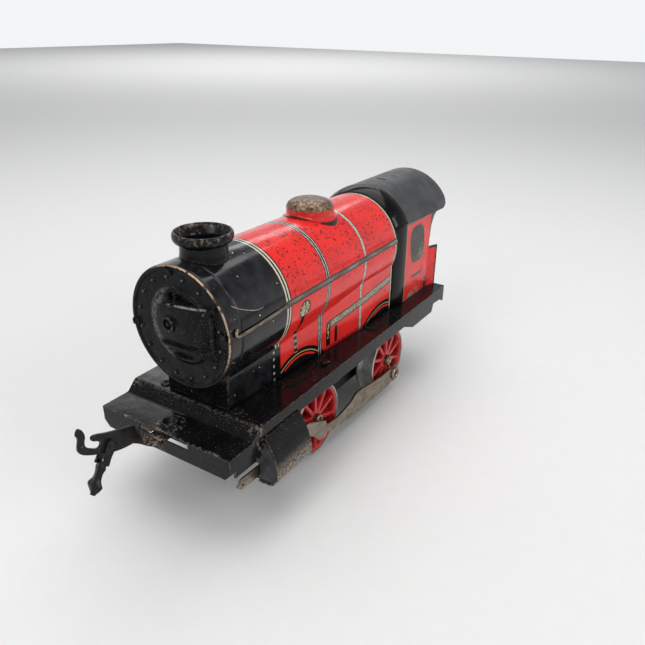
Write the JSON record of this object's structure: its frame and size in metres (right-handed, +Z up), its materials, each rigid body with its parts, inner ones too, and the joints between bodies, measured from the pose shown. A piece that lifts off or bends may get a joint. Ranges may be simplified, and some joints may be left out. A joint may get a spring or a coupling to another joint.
{
  "type": "clockwork model steam locomotive",
  "caption": "Tinplate clockwork steam locomotive with a round boiler, chimney, dome, open cab, cylinders, moving side rods, spoked wheels and swivelling hook couplings.",
  "frame": {"origin": "middle of the footprint on the rail surface under the wheel flanges", "axes": "-Y towards the front of the engine, +X its left side, +Z up"},
  "size_m": [0.0652, 0.2108, 0.092],
  "materials": {
    "black_enamel": "gloss",
    "roof_black": "satin",
    "red_litho": "gloss",
    "wheel_red": "gloss",
    "tyre_plate": "worn",
    "rod_steel": "brushed",
    "dome_brass": "worn",
    "coupling_black": "worn",
    "frame_steel": "brushed",
    "gear_brass": "machined",
    "spring_steel": "blued"
  },
  "bodies": {
    "chassis": {"footplate": "black_enamel", "boiler_shell": "red_litho", "saddle_front": "black_enamel", "smokebox_front": "black_enamel", "smokebox_hinge": "black_enamel", "smokebox_handle": "black_enamel", "chimney": "black_enamel", "dome": "dome_brass", "cab_front": "black_enamel", "cab_side_left": "red_litho", "cab_side_right": "red_litho", "cab_roof": "roof_black", "cylinder_cover_left": "black_enamel", "cylinder_cover_right": "black_enamel", "cylinder_front_left": "black_enamel", "cylinder_front_right": "black_enamel", "frame_plate_left": "frame_steel", "frame_plate_right": "frame_steel", "frame_pillars": "frame_steel", "frame_rivets": "frame_steel", "mainspring": "spring_steel", "front_coupling_rivet": "coupling_black", "rear_coupling_rivet": "coupling_black"},
    "front_wheelset": {"front_axle": "frame_steel", "wheel_front_left": "wheel_red", "wheel_front_right": "wheel_red", "tyre_front_left": "tyre_plate", "tyre_front_right": "tyre_plate"},
    "rear_wheelset": {"rear_axle": "frame_steel", "wheel_rear_left": "wheel_red", "wheel_rear_right": "wheel_red", "tyre_rear_left": "tyre_plate", "tyre_rear_right": "tyre_plate", "crankpins": "frame_steel", "axle_pinion": "frame_steel"},
    "left_rod": {"connecting_rod_left": "rod_steel"},
    "right_rod": {"connecting_rod_right": "rod_steel"},
    "left_piston": {"piston_strip_left": "rod_steel"},
    "right_piston": {"piston_strip_right": "rod_steel"},
    "great_wheel": {"great_wheel": "gear_brass", "click_stud": "frame_steel"},
    "winding": {"winding_arbor": "frame_steel", "ratchet_wheel": "frame_steel"},
    "click": {"click": "frame_steel"},
    "centre_arbor": {"centre_wheel": "gear_brass", "centre_pinion": "frame_steel", "centre_staff": "frame_steel"},
    "brake": {"brake_lever": "frame_steel"},
    "front_hook": {"front_coupling": "coupling_black"},
    "front_link": {"front_drop_link": "coupling_black"},
    "rear_hook": {"rear_coupling": "coupling_black"},
    "rear_link": {"rear_drop_link": "coupling_black"}
  },
  "joints": [
    {"name": "rear_axle", "type": "hinge", "parent": "chassis", "child": "rear_wheelset", "pos_m": [0, 0.0338, 0.0155], "axis": [1, 0, 0], "continuous": true},
    {"name": "front_axle", "type": "hinge", "parent": "chassis", "child": "front_wheelset", "pos_m": [0, -0.0216, 0.0155], "axis": [1, 0, 0], "continuous": true},
    {"name": "left_rod_pin", "type": "hinge", "parent": "rear_wheelset", "child": "left_rod", "pos_m": [0.0228, 0.0368, 0.00808], "axis": [1, 0, 0], "continuous": true},
    {"name": "right_rod_pin", "type": "hinge", "parent": "rear_wheelset", "child": "right_rod", "pos_m": [-0.0228, 0.0368, 0.00808], "axis": [1, 0, 0], "continuous": true},
    {"name": "left_piston_slide", "type": "slide", "parent": "chassis", "child": "left_piston", "axis": [0, 1, 0], "range_m": [-0.011, 0.005]},
    {"name": "right_piston_slide", "type": "slide", "parent": "chassis", "child": "right_piston", "axis": [0, 1, 0], "range_m": [-0.011, 0.005]},
    {"name": "centre_arbor_turn", "type": "hinge", "parent": "chassis", "child": "centre_arbor", "pos_m": [0, 0.0248, 0.0275], "axis": [1, 0, 0], "continuous": true},
    {"name": "great_wheel_turn", "type": "hinge", "parent": "chassis", "child": "great_wheel", "pos_m": [0, 0.0122, 0.0443], "axis": [1, 0, 0], "continuous": true},
    {"name": "winding_turn", "type": "hinge", "parent": "great_wheel", "child": "winding", "pos_m": [0, 0.0122, 0.0443], "axis": [1, 0, 0], "continuous": true},
    {"name": "click_pivot", "type": "hinge", "parent": "great_wheel", "child": "click", "pos_m": [0.0041, 0.007, 0.0509], "axis": [1, 0, 0], "range_deg": [0, 14], "stiffness_Nm_per_rad": 0.00002, "springref_deg": -17.19},
    {"name": "brake_lever_pivot", "type": "hinge", "parent": "chassis", "child": "brake", "pos_m": [-0.0099, 0.037, 0.0385], "axis": [1, 0, 0], "range_deg": [-5, 5]},
    {"name": "front_coupling_swivel", "type": "hinge", "parent": "chassis", "child": "front_hook", "pos_m": [-0.001, -0.0725, 0.0322], "axis": [0, 0, 1], "range_deg": [-28, 28]},
    {"name": "front_link_swing", "type": "hinge", "parent": "front_hook", "child": "front_link", "pos_m": [-0.001, -0.0956, 0.0407], "axis": [1, 0, 0], "range_deg": [-28, 48]},
    {"name": "rear_coupling_swivel", "type": "hinge", "parent": "chassis", "child": "rear_hook", "pos_m": [0.001, 0.0725, 0.0357], "axis": [0, 0, 1], "range_deg": [-28, 28]},
    {"name": "rear_link_swing", "type": "hinge", "parent": "rear_hook", "child": "rear_link", "pos_m": [0.001, 0.0956, 0.0407], "axis": [-1, 0, 0], "range_deg": [-28, 48]}
  ],
  "couplings": [
    {"joint": "left_rod_pin", "follows": "rear_axle", "ratio": -1},
    {"joint": "right_rod_pin", "follows": "rear_axle", "ratio": -1},
    {"joint": "centre_arbor_turn", "follows": "rear_axle", "ratio": -0.25},
    {"joint": "great_wheel_turn", "follows": "rear_axle", "ratio": 0.041667}
  ]
}
